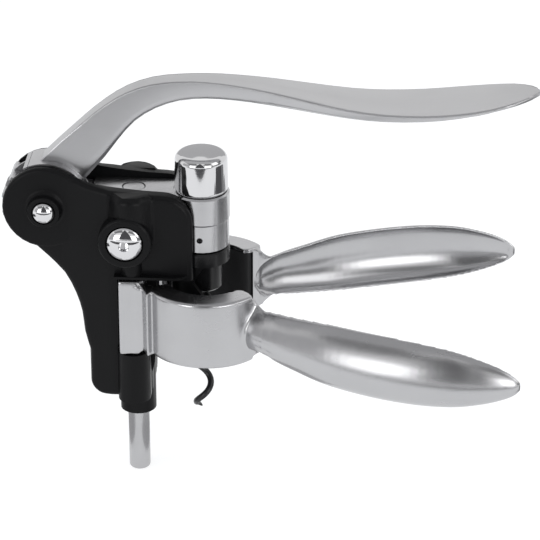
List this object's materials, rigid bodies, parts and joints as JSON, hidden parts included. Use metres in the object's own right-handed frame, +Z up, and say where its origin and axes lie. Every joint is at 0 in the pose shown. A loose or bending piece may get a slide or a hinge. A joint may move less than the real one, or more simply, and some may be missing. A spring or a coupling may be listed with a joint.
{
  "type": "lever corkscrew",
  "caption": "Lever corkscrew with a black two-wall body, a long arched lever with a toothed hub, a sliding barrel with a coated screw, and gripping handles with padded jaws.",
  "frame": {"origin": "on the screw's axis, at the level of the jaws' upper face, where the bottle's neck is held", "axes": "+Z up along the screw towards the cap, +X from the lever's hub towards the handles, +Y to the rear wall"},
  "size_m": [0.192, 0.117, 0.1587],
  "materials": {
    "black_nylon": "satin black moulded nylon",
    "satin_zinc": "satin plated zinc casting",
    "bright_steel": "bright turned steel",
    "mirror_chrome": "mirror chrome",
    "black_coating": "black low-friction coating on steel",
    "black_rubber": "matte black rubber",
    "nut_brass": "plain brass"
  },
  "bodies": {
    "frame": {"front_shell": "black_nylon", "rear_shell": "black_nylon", "guide_block": "black_nylon", "sleeve_bush": "bright_steel", "hub_pin": "mirror_chrome", "hub_pin_cap": "mirror_chrome", "front_dome_screw": "mirror_chrome", "rear_dome_screw": "mirror_chrome", "front_hinge_pin": "bright_steel", "rear_hinge_pin": "bright_steel", "bottle_stop": "black_nylon", "nut_carrier": "black_nylon", "drive_nut": "nut_brass", "nut_retainer": "bright_steel", "upper_shell_screw": "bright_steel", "lower_shell_screw": "bright_steel"},
    "lever": {"lever": "satin_zinc", "front_hub_washer": "black_nylon", "rear_hub_washer": "black_nylon"},
    "carriage": {"carriage": "satin_zinc", "guide_rod": "bright_steel", "chrome_cap": "mirror_chrome", "barrel_collar": "satin_zinc", "collar_screw": "bright_steel", "thrust_washer": "bright_steel"},
    "worm": {"worm": "black_coating", "spindle_washer": "bright_steel", "spindle_ring": "bright_steel"},
    "front_handle": {"front_handle": "satin_zinc", "front_jaw_pad": "black_rubber"},
    "rear_handle": {"rear_handle": "satin_zinc", "rear_jaw_pad": "black_rubber"}
  },
  "joints": [
    {"name": "lever_swing", "type": "hinge", "parent": "frame", "child": "lever", "pos_m": [-0.0557, 0, 0.0271], "axis": [0, -1, 0], "range_deg": [0, 178]},
    {"name": "carriage_lift", "type": "slide", "parent": "frame", "child": "carriage", "axis": [0, 0, 1], "range_m": [0, 0.04538]},
    {"name": "worm_spin", "type": "hinge", "parent": "carriage", "child": "worm", "pos_m": [0, 0, 0], "axis": [0, 0, 1], "range_deg": [0, 990.1]},
    {"name": "front_handle_swing", "type": "hinge", "parent": "frame", "child": "front_handle", "pos_m": [-0.0245, -0.012, 0], "axis": [0, 0, 1], "range_deg": [-4, 21]},
    {"name": "rear_handle_swing", "type": "hinge", "parent": "frame", "child": "rear_handle", "pos_m": [-0.0245, 0.012, 0], "axis": [0, 0, -1], "range_deg": [-4, 21]}
  ],
  "couplings": [
    {"joint": "carriage_lift", "follows": "lever_swing", "m_per_rad": 0.0146},
    {"joint": "worm_spin", "follows": "lever_swing", "ratio": 5.5597}
  ]
}
